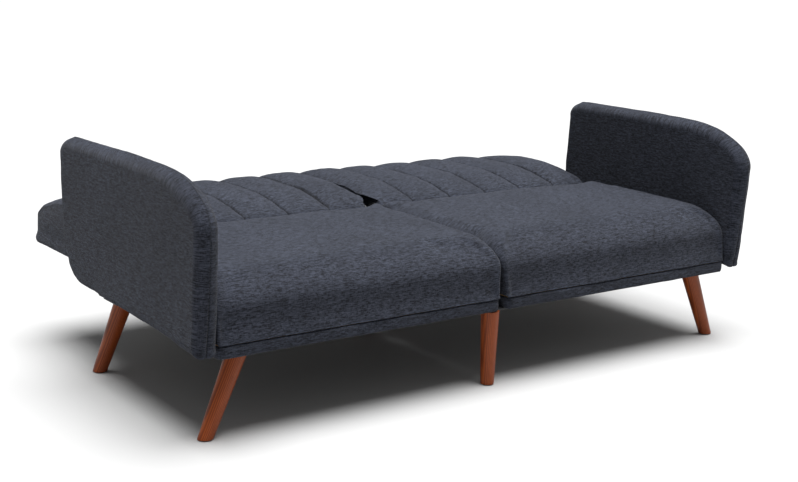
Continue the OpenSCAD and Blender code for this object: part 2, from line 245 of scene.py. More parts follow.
def woodMaterial(name, light, dark, rough, coat, turn=(0, 0, 0), shift=(0, 0, 0), ringSize=9 * mm):
    material, tree, shader = startMaterial(name, Coat_Roughness=0.25, Specular_IOR_Level=0.22)
    here = add(tree, "ShaderNodeTexCoord").outputs["Object"]
    alongGrain = stretched(tree, here, (1, 1, 1), turn, shift)
    grain = place(tree, woodGrain, Vector=alongGrain, Ring_Size=ringSize)
    patch = place(tree, uneven, Patch_Size=0.07, Speck_Size=1.5 * mm)
    body = mixColour(tree, remap(tree, grain["Grain"], 0.28, 0.72), dark, light)
    poreColour = tuple(c * 0.45 for c in dark[:3]) + (1,)
    pored = mixColour(tree, calc(tree, "MULTIPLY", grain["Pores"], 0.5), body, poreColour)
    toned = mixColour(tree, remap(tree, patch["Tone"], 0, 1, 0, 0.3), pored, dark)
    tree.links.new(toned, shader.inputs["Base Color"])
    tree.links.new(remap(tree, grain["Grain"], 0, 1, rough + 0.07, rough - 0.05), shader.inputs["Roughness"])
    tree.links.new(remap(tree, patch["Specks"], 0, 1, coat, coat * 0.6), shader.inputs["Coat Weight"])
    bumpInto(tree, shader, grain["Grain"], 0.15 * mm, 0.35)
    return material


def metalMaterial(name, colour, worn, metallic, rough):
    material, tree, shader = startMaterial(name, Metallic=metallic)
    marks = place(tree, scuffs, Scratch_Size=0.8 * mm)
    faded = remap(tree, marks["Scratches"], 0.35, 0.65, 0.0, 0.45)
    tree.links.new(mixColour(tree, faded, colour, worn), shader.inputs["Base Color"])
    tree.links.new(remap(tree, marks["Marks"], 0, 1, rough, rough + 0.18), shader.inputs["Roughness"])
    bumpInto(tree, shader, marks["Scratches"], 0.05 * mm, 0.3)
    return material


def clothMaterial(name, dark, light, pitch):
    # Non-woven cloth: pressed dots and short fibres
    material, tree, shader = startMaterial(name, Roughness=0.95, Sheen_Weight=0.1)
    here = add(tree, "ShaderNodeTexCoord").outputs["Object"]
    dots = add(tree, "ShaderNodeTexVoronoi", [("Vector", here), ("Scale", 1 / pitch), ("Randomness", 0.25)])
    dimple = remap(tree, dots.outputs[0], 0.1, 0.45)
    fibres = noiseOf(tree, here, 900.0, 3.0, 0.7)
    tone = calc(tree, "MULTIPLY", dimple, fibres)
    tree.links.new(mixColour(tree, tone, dark, light), shader.inputs["Base Color"])
    bumpInto(tree, shader, tone, 0.25 * mm, 0.6)
    return material


slateLinen = slateLinenMaterial(linen)
threadMaterial = clothMaterial("sewing thread", (0.008, 0.009, 0.014, 1), (0.03, 0.033, 0.045, 1), 0.5 * mm)
dustCloth = clothMaterial("black dust cloth", (0.006, 0.006, 0.007, 1), (0.022, 0.022, 0.024, 1), 2.4 * mm)
zincSteel = metalMaterial("bright zinc", (0.62, 0.64, 0.66, 1), (0.42, 0.43, 0.44, 1), 1.0, 0.28)
hingeSteel = metalMaterial("black powder coat", (0.018, 0.018, 0.02, 1), (0.05, 0.05, 0.052, 1), 0.2, 0.45)
springSteel = metalMaterial("oiled spring wire", (0.09, 0.09, 0.1, 1), (0.2, 0.19, 0.18, 1), 0.9, 0.35)
blackPlastic = metalMaterial("black nylon", (0.012, 0.012, 0.012, 1), (0.035, 0.035, 0.036, 1), 0.0, 0.42)
softwood = {"light": (0.66, 0.44, 0.24, 1), "dark": (0.47, 0.28, 0.13, 1), "rough": 0.62, "coat": 0.0}
softwoodAlongX = woodMaterial("softwood rails", turn=(0, math.pi / 2, 0), **softwood)
softwoodAlongY = woodMaterial("softwood end rails", turn=(math.pi / 2, 0, 0), **softwood)
plywood = woodMaterial("plywood boards", (0.6, 0.42, 0.25, 1), (0.45, 0.28, 0.15, 1), 0.6, 0.0,
                       turn=(math.pi / 2, 0, 0), ringSize=26 * mm)


def meshPoints(data):
    points = np.zeros(len(data.vertices) * 3)
    data.vertices.foreach_get("co", points)
    return points.reshape(-1, 3)


legWood = {"light": (0.30, 0.066, 0.014, 1), "dark": (0.13, 0.024, 0.005, 1), "rough": 0.4, "coat": 0.05,
           "ringSize": 12 * mm}


def legMaterial(node):
    # Grain runs from the middle of the leg's top to the middle of its foot
    points = meshPoints(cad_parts[node].data)
    low, high = (Vector((points[near].min(0) + points[near].max(0)) / 2)
                 for near in (points[:, 2] < points[:, 2].min() + mm, points[:, 2] > points[:, 2].max() - mm))
    toUpright = (high - low).rotation_difference(Vector((0, 0, 1)))
    shift = -(toUpright @ low) + Vector((0.2 * low.x, 0.13 * low.y, 0))
    return woodMaterial(node.replace("_", " ") + " wood", turn=toUpright.to_euler(), shift=shift, **legWood)


def finishOf(node):
    if node.endswith("_leg"):
        return legMaterial(node), "leg_wood"
    for words, material, slot in (
            (("pawl_pins",), zincSteel, "zinc_steel"),
            (("arm_core",), plywood, "frame_timber"),
            (("end_rails", "stiles"), softwoodAlongY, "frame_timber"),
            (("rail", "leg_blocks"), softwoodAlongX, "frame_timber"),
            (("springs",), springSteel, "spring_steel"),
            (("glides", "spacers"), blackPlastic, "black_plastic"),
            (("hinge_plates", "pawl", "leg_plates", "centre_plates"), hingeSteel, "hinge_steel")):
        if any(word in node for word in words):
            return material, slot
    return zincSteel, "zinc_steel"


for nodeName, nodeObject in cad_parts.items():
    nodeMaterial, nodeSlot = finishOf(nodeName)
    nodeObject.data.materials.clear()
    nodeObject.data.materials.append(nodeMaterial)
print("materials made")

# Upholstered pieces: each is the skin of a box of lines, x along the bed, i front to rear, j bottom to top


def arc(y, z, ry, rz, start, end, steps=12):
    turns = np.radians(np.linspace(start, end, steps))
    return list(zip(y + ry * np.cos(turns), z + rz * np.sin(turns)))


sideSamples = 401


def sideCurve(points, outward, softening):
    # One side of an outline in millimetres as even points with outward normals, in metres in the frame
    p = np.array(points, float) * mm
    run = np.concatenate([[0], np.cumsum(np.linalg.norm(np.diff(p, axis=0), axis=1))])
    even = np.linspace(0, run[-1], sideSamples)
    p = np.stack([np.interp(even, run, p[:, k]) for k in (0, 1)], 1)
    for _ in range(softening):
        p[1:-1] = (p[:-2] + 2 * p[1:-1] + p[2:]) / 4
    ahead = np.gradient(p, axis=0)
    ahead /= np.linalg.norm(ahead, axis=1)[:, None]
    p[:, 0] += seatFront
    return {"p": p, "n": outward * np.stack([-ahead[:, 1], ahead[:, 0]], 1), "length": run[-1]}


def makeOutline(s):
    sides = {name: sideCurve(s[name], outward, s.get("softening", 8))
             for name, outward in (("bottom", -1), ("top", 1), ("front", 1), ("rear", -1))}
    turnLength = 12
    for a, b, atA, atB in (("bottom", "front", 0, 0), ("bottom", "rear", -1, 0),
                           ("top", "front", 0, -1), ("top", "rear", -1, -1)):
        shared = sides[a]["n"][atA] + sides[b]["n"][atB]
        shared /= np.linalg.norm(shared)
        for name, end in ((a, atA), (b, atB)):
            for k in range(turnLength):
                at = k if end == 0 else sideSamples - 1 - k
                n = sides[name]["n"][at] * (k / turnLength) + shared * (1 - k / turnLength)
                sides[name]["n"][at] = n / np.linalg.norm(n)
    return sides


def skinPlace(s, sides, span, x, i, j):
    # Each point of the skin: a patch stretched between the four sides, drawn in towards both ends
    fromEnd = np.minimum(x - span[0], span[1] - x)
    ranks = np.arange(sideSamples)

    def drawn(name, t, a, b):
        at = t * (sideSamples - 1)
        point, n = (np.stack([np.interp(at, ranks, sides[name][what][:, k]) for k in (0, 1)], 1) for what in "pn")
        radius, slack = (s[what][a] * (1 - t) + s[what][b] * t for what in ("radius", "slack"))
        inset = slack + radius - np.sqrt(np.maximum(radius ** 2 - np.maximum(radius - fromEnd, 0) ** 2, 0))
        return point - n * inset[:, None]

    zero, one = np.zeros_like(i), np.ones_like(i)
    lowFront, lowRear = drawn("bottom", zero, 0, 1), drawn("bottom", one, 0, 1)
    highFront, highRear = drawn("top", zero, 2, 3), drawn("top", one, 2, 3)
    i, j = i[:, None], j[:, None]
    edges = (drawn("bottom", i[:, 0], 0, 1) * (1 - j) + drawn("top", i[:, 0], 2, 3) * j
             + drawn("front", j[:, 0], 0, 2) * (1 - i) + drawn("rear", j[:, 0], 1, 3) * i)
    corners = (lowFront * (1 - i) * (1 - j) + lowRear * i * (1 - j)
               + highFront * (1 - i) * j + highRear * i * j)
    return np.column_stack([x, edges - corners])


def quadsOf(sheet):
    return np.stack([sheet[:-1, :-1], sheet[1:, :-1], sheet[1:, 1:], sheet[:-1, 1:]], -1).reshape(-1, 4)


def boxSkin(counts):
    # The places of a box's skin points, their numbers, and its outward faces with the side that each is on
    numbers = -np.ones(counts, int)
    on = np.zeros(counts, bool)
    for axis in range(3):
        for end in (0, -1):
            on[tuple(end if a == axis else slice(None) for a in range(3))] = True
    numbers[on] = np.arange(on.sum())
    faces, sideOf = [], []
    for axis in range(3):
        for end in (0, counts[axis] - 1):
            sheet = np.take(numbers, end, axis=axis)
            quads = quadsOf(sheet)
            faces.append(quads[:, ::-1] if (axis == 1) != (end == 0) else quads)
            sideOf.append(np.full(len(quads), axis))
    return np.argwhere(on), numbers, np.concatenate(faces), np.concatenate(sideOf)


def cubicTo(values, knots, where):
    k = np.clip(np.searchsorted(knots, where, side="right") - 1, 0, len(knots) - 2)
    gap = (knots[k + 1] - knots[k])[:, None, None]
    t = (where - knots[k])[:, None, None] / gap
    slope = np.gradient(values, knots, axis=0)
    return ((2 * t ** 3 - 3 * t ** 2 + 1) * values[k] + (t ** 3 - 2 * t ** 2 + t) * gap * slope[k]
            + (3 * t ** 2 - 2 * t ** 3) * values[k + 1] + (t ** 3 - t ** 2) * gap * slope[k + 1])


def refine(values, coarse, fine):
    # Carries a skin's values from coarse lines to fine ones, one side of the box at a time
    made = np.zeros([len(lines) for lines in fine] + [3])
    for axis in range(3):
        a, b = (k for k in range(3) if k != axis)
        for end in (0, -1):
            sheet = cubicTo(np.take(values, end, axis=axis), coarse[a], fine[a])
            sheet = cubicTo(sheet.swapaxes(0, 1), coarse[b], fine[b]).swapaxes(0, 1)
            made[tuple(end if k == axis else slice(None) for k in range(3))] = sheet
    return made


def makeMesh(name, points, faces, material):
    data = bpy.data.meshes.new(name)
    data.from_pydata(points.tolist(), [], faces.tolist())
    data.polygons.foreach_set("use_smooth", np.ones(len(data.polygons), bool))
    data.materials.append(material)
    data.update()
    made = bpy.data.objects.new(name, data)
    bpy.context.scene.collection.objects.link(made)
    return made


def meshNormals(data):
    normals = np.zeros(len(data.vertices) * 3, np.float32)
    data.vertices.foreach_get("normal", normals)
    return normals.reshape(-1, 3).astype(float)


clothSim = {"pressure": 4.0, "frames": 16, "mass": 0.3, "tension": 12.0, "bending": 0.4}


def inflate(made, pinned, s):
    # Blows the skin up as cloth held at its seams; returns how far each point moved
    rest = meshPoints(made.data)
    group = made.vertex_groups.new(name="held")
    for weight in np.unique(pinned[pinned > 0]):
        group.add(np.flatnonzero(pinned == weight).tolist(), float(weight), "REPLACE")
    cloth = made.modifiers.new("cloth", "CLOTH")
    for key, value in {
            "quality": 5, "mass": s["mass"], "tension_stiffness": s["tension"],
            "compression_stiffness": s["tension"], "shear_stiffness": s["tension"] / 2,
            "bending_stiffness": s["bending"], "vertex_group_mass": group.name, "pin_stiffness": 1.0,
            "use_pressure": True, "uniform_pressure_force": s["pressure"]}.items():
        setattr(cloth.settings, key, value)
    cloth.settings.effector_weights.gravity = 0
    cloth.collision_settings.use_collision = False
    cloth.point_cache.frame_start, cloth.point_cache.frame_end = 1, s["frames"]
    for moment in range(1, s["frames"] + 1):
        bpy.context.scene.frame_set(moment)
    shown = made.evaluated_get(bpy.context.evaluated_depsgraph_get())
    moved = meshPoints(shown.data) - rest
    bpy.context.scene.frame_set(1)
    return moved


def ripple(points, wavelength, seed, waves=7):
    # Smooth seeded unevenness between about -1 and 1
    draw = np.random.default_rng(seed)
    total = np.zeros(len(points))
    for _ in range(waves):
        heading = draw.normal(size=3)
        heading /= np.linalg.norm(heading)
        number = 2 * math.pi / (wavelength * draw.uniform(0.7, 1.6))
        total += np.sin(points @ heading * number + draw.uniform(0, 2 * math.pi))
    return total / math.sqrt(waves * 2)


def unevenness(points, waves, seed, apart=1):
    # A sum of ripples, each (height, wavelength), with seeds that are evenly apart
    return sum(height * ripple(points, length, seed + apart * k) for k, (height, length) in enumerate(waves))


def smoothStep(values, start, end):
    t = np.clip((values - start) / (end - start), 0, 1)
    return t * t * (3 - 2 * t)


def evenLines(length, step, dense=()):
    # Lines along a length: even ones, and dense ones at the given distances from either end
    count = max(2, round(length / step))
    lines = np.linspace(0, length, count + 1)
    if dense:
        near = max(dense) + 0.5 * step
        lines = lines[(lines > near) & (lines < length - near)]
        lines = np.concatenate([dense, lines, length - np.array(dense)[::-1]])
    return lines


def seamLines(seams, low, high, step, close):
    # Lines across X: even ones between the seams, and close ones on both sides of each seam and end
    lines = [low, high]
    stops = [low, *seams, high]
    for a, b in zip(stops, stops[1:]):
        first, last = a + max(close), b - max(close)
        lines += [a + d for d in close] + [b - d for d in close]
        lines += list(np.linspace(first, last, max(2, round((last - first) / step)) + 1)[1:-1])
    return np.unique(np.round(np.concatenate([lines, seams]), 7))


def sidePlace(side, part):
    # A part's box, and which way is out from the middle of the bed
    low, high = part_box(side + part)
    return low, high, 1 if side == "right" else -1


def fromEnds(x, low, high, sign):
    # How far each point is from the end at the middle of the bed and from the end at the arm
    return (x - low.x, high.x - x) if sign > 0 else (high.x - x, x - low.x)


def upholster(name, s, xLines, held, swell, details):
    # xLines are the coarse and the fine lines across X; held gives the weights of the sewn points
    sides = makeOutline(s)
    span = (xLines[0][0], xLines[0][-1])
    depth, height = sides["top"]["length"], sides["front"]["length"]
    grids = []
    for lines, step, dense in ((xLines[0], s["coarse"], ()), (xLines[1], s["fine"], s["denseEnds"])):
        grids.append([lines, evenLines(depth, step, dense) / depth,
                      evenLines(height, min(step, height / 8), dense) / height])
    skins = [boxSkin([len(lines) for lines in grid]) for grid in grids]
    params = [[grid[k][skin[0][:, k]] for k in range(3)] for grid, skin in zip(grids, skins)]
    bases = [skinPlace(s, sides, span, *values) for values in params]
    bases = [swell(base, *values) for base, values in zip(bases, params)]
    points = bases[1]
    trial = makeMesh(name + ".trial", bases[0], skins[0][2], slateLinen)
    moved = inflate(trial, held(*params[0]), clothSim | s.get("sim", {}))
    bpy.data.objects.remove(trial)
    # Neither end is drawn in
    x, endZone = params[0][0], 80 * mm
    moved[:, 0] = np.where(x < span[0] + endZone, np.minimum(moved[:, 0], 0), moved[:, 0])
    moved[:, 0] = np.where(x > span[1] - endZone, np.maximum(moved[:, 0], 0), moved[:, 0])
    length = np.linalg.norm(moved, axis=1)[:, None] + 1e-9
    moved *= s["mostSwell"] * np.tanh(length / s["mostSwell"]) / length
    field = np.zeros([len(lines) for lines in grids[0]] + [3])
    field[tuple(skins[0][0].T)] = moved
    points = points + refine(field, grids[0], grids[1])[tuple(skins[1][0].T)]
    print(name, "swelled by up to", round(1000 * float(np.linalg.norm(moved, axis=1).max()), 1), "mm")
    made = makeMesh(name, points, skins[1][2], slateLinen)
    # The details also give each point's painted seam shade, kept as an attribute that darkens the cloth's colour
    points, seamShade = details(points, meshNormals(made.data), *params[1])
    made.data.vertices.foreach_set("co", points.ravel())
    made.data.update()
    creases = made.data.attributes.new("seamShade", "FLOAT", "POINT")
    creases.data.foreach_set("value", seamShade.astype(np.float32))
    mapWeave(made, sides, params[1], skins[1], points)
    return made, {"numbers": skins[1][1], "lines": grids[1], "points": points}


def mapWeave(made, sides, values, skin, points):
    # The weave's map in metres: X and the run round the outline, or Y and Z on the two ends
    x, i, j = values
    front, top, rear = (sides[k]["length"] for k in ("front", "top", "rear"))
    faces, sideOf = skin[2], skin[3]
    corner = faces.ravel()
    axis = np.repeat(sideOf, 4)
    middle = np.repeat(np.stack([i[faces].mean(1), j[faces].mean(1)], 1), 4, axis=0)
    run = np.where(axis == 2,
                   np.where(middle[:, 1] > 0.5, front + i[corner] * top, -i[corner] * top),
                   np.where(middle[:, 0] < 0.5, j[corner] * front, front + top + (1 - j[corner]) * rear))
    atEnd = axis == 0
    uv = np.stack([np.where(atEnd, points[corner, 1], x[corner]), np.where(atEnd, points[corner, 2], run)], 1)
    made.data.uv_layers.new(name="weave").data.foreach_set("uv", uv.astype(np.float32).ravel())


# Seats

seatShape = {
    "front": [(0, 250), (0, 334)] + arc(130, 334, 130, 78, 180, 125),
    "top": arc(130, 334, 130, 78, 125, 90) + [(300, 412)] + arc(590, 390, 22, 22, 90, 45, 5),
    "rear": [(612, 250), (612, 390)] + arc(590, 390, 22, 22, 0, 45, 5),
    "bottom": [(0, 250), (612, 250)],
    "radius": (6 * mm, 6 * mm, 25 * mm, 20 * mm),   # at the ends: front low, rear low, front high, rear high
    "slack": (3 * mm, 4 * mm, 6 * mm, 3 * mm),      # how far the cloth starts inside the outline, same order
    "coarse": 12 * mm, "fine": 6.5 * mm, "denseEnds": (0, 1.5 * mm, 3.5 * mm, 6.5 * mm, 10 * mm),
    "nearEnds": [d * mm for d in (1, 3, 6, 10, 15, 21, 28, 36, 45)],
    "mostSwell": 11 * mm, "crown": 5 * mm,
    "endLean": (12.5 * mm, 4 * mm),   # over the gap between the seats, and towards the arm
    "rearLean": 8 * mm, "rearDrop": 5 * mm, "innerRear": 11 * mm, "innerLift": 6 * mm,
    "seamHeight": 9 * mm, "gatherDepth": 1.7 * mm, "gatherPitch": 17 * mm,
    "waves": ((1.1 * mm, 0.16), (0.35 * mm, 0.045)), "gap": 0.6 * mm, "armSide": 4.4 * mm,
    "seeds": {"left": (4, 12), "right": (3, 11)},
}


def makeSeat(side):
    s = seatShape
    low, high, sign = sidePlace(side, "_seat_cushion")
    coarse = seamLines([], low.x, high.x, s["coarse"], [5 * mm, 16 * mm, 30 * mm])
    fine = seamLines([], low.x, high.x, s["fine"], s["nearEnds"])
    gatherSeed, seed = s["seeds"][side]

    def held(x, i, j):
        weight = np.full(len(x), 0.02)
        weight[j == 0] = 1
        return weight

    def swell(points, x, i, j):
        # The ends lean out, the top is crowned, and its rear edge comes up against the back
        inner, outer = fromEnds(x, low, high, sign)
        upper = smoothStep(points[:, 2], low.z + 5 * mm, low.z + 110 * mm)
        points = points.copy()
        points[:, 0] -= sign * s["endLean"][0] * upper * (1 - smoothStep(inner, 0, 90 * mm))
        points[:, 0] += sign * s["endLean"][1] * upper * (1 - smoothStep(outer, 0, 60 * mm))
        onTop = smoothStep(points[:, 2], low.z + 90 * mm, low.z + 150 * mm)
        points[:, 2] += s["crown"] * onTop * np.sin(math.pi * (x - low.x) / (high.x - low.x))
        nearRear = onTop * smoothStep(points[:, 1], high.y - 70 * mm, high.y)
        nearMiddle = 1 - smoothStep(inner, 0, 60 * mm)
        points[:, 1] += nearRear * (s["rearLean"] + s["innerRear"] * nearMiddle)
        points[:, 2] -= nearRear * s["rearDrop"] * (1 - smoothStep(outer, 0, 350 * mm))
        points[:, 2] += nearRear * s["innerLift"] * nearMiddle
        return points

    def details(points, normals, x, i, j):
        # Gathers above the front seam, strongest at the right seat's outer end
        z = points[:, 2] - low.z
        nearSeam = np.exp(-np.abs(z - s["seamHeight"]) / (11 * mm))
        strong = 0.25 + 0.75 * (smoothStep(points[:, 0] * sign, 0.64, 0.72) if sign > 0 else 0)
        front = 1 - smoothStep(points[:, 1] - low.y, 0, 60 * mm)
        across = np.column_stack([points[:, 0], 0.15 * z, np.zeros(len(z))])
        gathers = np.maximum(ripple(across, s["gatherPitch"], gatherSeed, 9), -0.2)
        lift = -s["gatherDepth"] * gathers * nearSeam * strong * front
        lift += unevenness(points, s["waves"], seed, 2)
        points = points + normals * lift[:, None]
        farthest = max(-low.x, high.x) + s["armSide"]
        points[:, 0] = sign * np.clip(points[:, 0] * sign, s["gap"], farthest)
        # Painted shade along the bottom seam, where the seat meets its band
        return points, 0.6 * np.exp(-(z / (1.6 * mm)) ** 2)

    made, grid = upholster(side + "_seat_top", s, (coarse, fine), held, swell, details)
    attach(made, "base")
    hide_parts(side + "_seat_cushion")
    print("seat made:", side)


for seatSide in ("left", "right"):
    makeSeat(seatSide)

# Backs, each sewn into channels from front to rear

backShape = {
    "front": [(638, 285), (625, 292), (617, 315)] + arc(672, 365, 55, 55, 180, 130),
    "top": (arc(672, 365, 55, 55, 130, 90) + [(732, 434), (822, 446), (1000, 446)]
            + arc(1071, 374, 66, 66, 80, 45)),
    "rear": ([(1121, 284)] + arc(1119, 302, 18, 18, 290, 350, 6) + [(1137, 372)]
             + arc(1071, 374, 66, 66, 8, 45, 6)),
    "bottom": [(638, 285), (1121, 284)],
    "softening": 14,
    "radius": (7 * mm, 7 * mm, 13 * mm, 16 * mm),
    "slack": (1 * mm, 0.5 * mm, 6 * mm, 5 * mm),
    "coarse": 12 * mm, "fine": 6.5 * mm, "denseEnds": (0, 1.5 * mm, 4 * mm, 7 * mm),
    "besideSeams": [d * mm for d in (1.2, 3, 5.5, 9, 14)],
    "mostSwell": 14 * mm, "channels": 6, "puff": 9 * mm, "seamDepth": 4 * mm, "seamWidth": 2.6 * mm,
    "creaseDepth": 0.8 * mm, "waves": ((0.9 * mm, 0.13), (0.3 * mm, 0.04)),
    "droop": 26 * mm, "innerLean": 6 * mm, "outerRear": 4 * mm, "rearLean": 7 * mm, "liningRoom": 7 * mm,
    "plateRoom": (15.5 * mm, 9.5 * mm),   # how far the two ends stand back beside the hinge plates
    "swing": 58.5 * mm,                   # how far from the hinge the front edge may reach
    "sim": {"pressure": 7.0}, "seeds": {"left": 30, "right": 20},
}


def hingeAxis():
    # The joint's own place: the middle of the hinge pins
    low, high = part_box("hinge_pins")
    return (low.y + high.y) / 2, (low.z + high.z) / 2


def makeBack(side):
    s = backShape
    low, high, sign = sidePlace(side, "_back_cushion")
    seams = np.linspace(low.x, high.x, s["channels"] + 1)[1:-1]
    coarse = seamLines(seams, low.x, high.x, s["coarse"], [6 * mm])
    fine = seamLines(seams, low.x, high.x, 7 * mm, s["besideSeams"])
    axisY, axisZ = hingeAxis()
    seed = s["seeds"][side]

    def fromSeam(x):
        return np.min(np.abs(x[:, None] - seams[None, :]), axis=1)

    def held(x, i, j):
        weight = np.full(len(x), 0.01)
        weight[j == 0] = 1
        weight[(fromSeam(x) < 0.1 * mm) & (j > 0.15)] = 1
        atEnd = (x == x.min()) | (x == x.max())
        weight[atEnd & ((j == 1) | (i == 0) | (i == 1))] = 0.9
        return weight

    def besidePlates(y, z):
        # Both ends stand back beside the hinge plates, except for a lip along the top
        lip = smoothStep(z, 42 * mm, 52 * mm) * smoothStep(y, -24 * mm, -6 * mm)
        return 1 - np.maximum(lip, smoothStep(y, 42 * mm, 58 * mm))

    def swell(points, x, i, j):
        inner, outer = fromEnds(x, low, high, sign)
        atInner, atOuter = 1 - smoothStep(inner, 0, 70 * mm), 1 - smoothStep(outer, 0, 70 * mm)
        y, z = points[:, 1] - axisY, points[:, 2] - axisZ
        back = besidePlates(y, z)
        corner = smoothStep(y, 270 * mm, 455 * mm) * (1 - smoothStep(outer, 0, 210 * mm))
        points = points.copy()
        points[:, 0] += sign * s["plateRoom"][0] * back * atInner
        points[:, 0] -= sign * s["plateRoom"][1] * back * atOuter
        points[:, 0] -= sign * s["innerLean"] * (1 - back) * smoothStep(z, -40 * mm, 20 * mm) * atInner
        points[:, 0] += sign * s["outerRear"] * smoothStep(y, 110 * mm, 200 * mm) * atOuter
        points[:, 2] -= s["droop"] * corner * smoothStep(z, -20 * mm, 60 * mm)
        points[:, 1] += s["rearLean"] * smoothStep(y, 380 * mm, 465 * mm) * smoothStep(z, -70 * mm, -30 * mm)
        # The underside is taken up inside the lining
        toRim = np.minimum(np.minimum(inner, outer), np.minimum(y + 34 * mm, 449 * mm - y))
        points[:, 2] += s["liningRoom"] * smoothStep(toRim, 5 * mm, 14 * mm) * (j == 0)
        return points

    def details(points, normals, x, i, j):
        room = besidePlates(points[:, 1] - axisY, points[:, 2] - axisZ)
        toSeam = fromSeam(x)
        above = smoothStep(points[:, 2], low.z + 12 * mm, low.z + 40 * mm)
        toEdge = np.minimum(toSeam, np.minimum(x - x.min(), x.max() - x))
        halfChannel = (high.x - low.x) / s["channels"] / 2
        nearEnd = smoothStep(points[:, 1] - axisY, -20 * mm, 60 * mm) * 0.6 + 0.4
        strength = np.where(toEdge < toSeam, nearEnd, 1)
        lift = -s["puff"] * (1 - np.minimum(toEdge / halfChannel, 1)) ** 2.6 * above * strength
        lift -= s["seamDepth"] * np.exp(-(toSeam / s["seamWidth"]) ** 2) * above
        creases = ripple(np.column_stack([x * 0.15, i * 0.5, j * 0.2]), 30 * mm, seed + 1, 9)
        besideSeam = np.exp(-toSeam / (16 * mm)) * smoothStep(toSeam, 1 * mm, 6 * mm)
        lift += s["creaseDepth"] * creases * besideSeam * above
        lift += unevenness(points, s["waves"], seed + 2)
        points = points + normals * lift[:, None]
        # The rolled front edge keeps within its swing past the seat
        y, z = points[:, 1] - axisY, points[:, 2] - axisZ
        reach = np.hypot(y, z)
        over = (y <= 0) & (reach > s["swing"]) & (z > -30 * mm)
        shrink = np.where(over, s["swing"] / np.maximum(reach, mm), 1)
        points[:, 1], z = axisY + y * shrink, z * shrink
        ceiling = (s["swing"] + 0.208 * np.maximum(y, 0)) / 0.978   # upright, the top stays behind the seat
        points[:, 2] = axisZ + np.where(y > 0, np.minimum(z, ceiling), z)
        nearest, farthest = (0.6 + 18.9 * room) * mm, (894.2 - 10.7 * room) * mm   # between the hinge plates
        points[:, 0] = sign * np.clip(points[:, 0] * sign, nearest, farthest)
        # Painted shade along the channel seams
        return points, np.exp(-(toSeam / (2.3 * mm)) ** 2) * above

    made, grid = upholster(side + "_back_top", s, (coarse, fine), held, swell, details)
    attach(made, side + "_back")
    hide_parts(side + "_back_cushion")
    print("back made:", side)


for backSide in ("left", "right"):
    makeBack(backSide)

# Arms: two panels sewn together along the middle of a half-round edge

armShape = {
    "front": [(-6, 229), (-16, 300), (-26, 400), (-34, 490)] + arc(210, 544, 246, 124, 180, 132),
    "top": arc(210, 544, 246, 124, 132, 90) + [(400, 670), (560, 668)] + arc(706, 621, 62, 44, 84, 45),
    "rear": [(710, 276), (742, 303), (768, 360), (775, 450)] + arc(706, 621, 62, 44, 6, 45, 8),
    "bottom": [(-6, 229), (200, 247), (500, 255), (680, 263), (710, 276)],
    "softening": 40,
    "radius": (20 * mm, 18 * mm, 30.5 * mm, 24 * mm),
    "slack": (1.5 * mm, 2 * mm, 2.5 * mm, 2.5 * mm),
    "coarse": 14 * mm, "fine": 7.5 * mm, "denseEnds": (0, 3 * mm, 7 * mm),
    "besideSeam": [d * mm for d in (0.7, 1.8, 3.5, 6)],
    "mostSwell": 5 * mm, "seamDepth": 1.6 * mm, "seamWidth": 2.2 * mm, "lean": 9 * mm,
    "creaseDepth": 0.45 * mm, "hemDepth": 1.5 * mm, "waves": ((1.0 * mm, 0.17), (0.3 * mm, 0.05)),
    "sim": {"pressure": 3.0, "frames": 12}, "seeds": {"left": 50, "right": 40},
}


def makeArm(side):
    s = armShape
    low, high, sign = sidePlace(side, "_arm_pad")
    middle = (low.x + high.x) / 2
    coarse = seamLines([middle], low.x, high.x, 8 * mm, [3 * mm])
    fine = seamLines([middle], low.x, high.x, 4 * mm, s["besideSeam"])
    towardsSeat = low.x if sign > 0 else high.x
    seed = s["seeds"][side]

    def held(x, i, j):
        weight = np.full(len(x), 0.05)
        weight[j == 0] = 1
        weight[np.abs(x - middle) < 0.1 * mm] = 0.9
        return weight

    def swell(points, x, i, j):
        # The rear upper corner leans out, away from the seats, the outer face most
        lean = smoothStep(points[:, 2], 0.3, 0.62) * smoothStep(points[:, 1] - low.y, 0.35, 0.8)
        outward = np.abs(x - towardsSeat) / (high.x - low.x)
        points = points.copy()
        points[:, 0] += sign * s["lean"] * lean * (0.25 + 0.75 * outward)
        return points

    def details(points, normals, x, i, j):
        edge = (j == 1) | (i == 0) | (i == 1)
        toSeam = np.abs(x - middle)
        frontSide = 0.35 + 0.65 * (1 - smoothStep(points[:, 1] - low.y, 60 * mm, 260 * mm))
        lift = -s["seamDepth"] * np.exp(-(toSeam / s["seamWidth"]) ** 2) * edge * frontSide
        creases = ripple(points * np.array([0.1, 1, 1]), 22 * mm, seed + 1, 9)
        lift += s["creaseDepth"] * creases * np.exp(-toSeam / (9 * mm)) * edge * frontSide
        # The cloth is pulled under along the lower edge
        hem = np.exp(-np.maximum(points[:, 2] - low.z - 0.06 * (points[:, 1] - low.y), 0) / (30 * mm))
        lift += s["hemDepth"] * ripple(points * np.array([0.2, 1, 0.3]), 85 * mm, seed + 2) * hem
        lift += unevenness(points, s["waves"], seed + 3)
        points = points + normals * lift[:, None]
        inside = (points[:, 0] - towardsSeat) * sign
        points[:, 0] = towardsSeat + sign * np.maximum(inside, -1.0 * mm)
        # Painted shade along the seam round the edge, strongest towards the front
        return points, np.exp(-(toSeam / (1.4 * mm)) ** 2) * edge * frontSide

    made, grid = upholster(side + "_arm_cover", s, (coarse, fine), held, swell, details)
    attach(made, "base")
    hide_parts(side + "_arm_pad")
    print("arm made:", side)
    return grid


armGrids = {armSide: makeArm(armSide) for armSide in ("left", "right")}

# Bands round the foot of each seat

bandShape = {"thick": 5 * mm, "bulge": 2.6 * mm, "corner": 12 * mm, "step": 7 * mm, "wave": 0.9 * mm,
             "stitchOut": 1.6 * mm, "stitchDown": 4.5 * mm, "seeds": {"left": 60, "right": 70}}


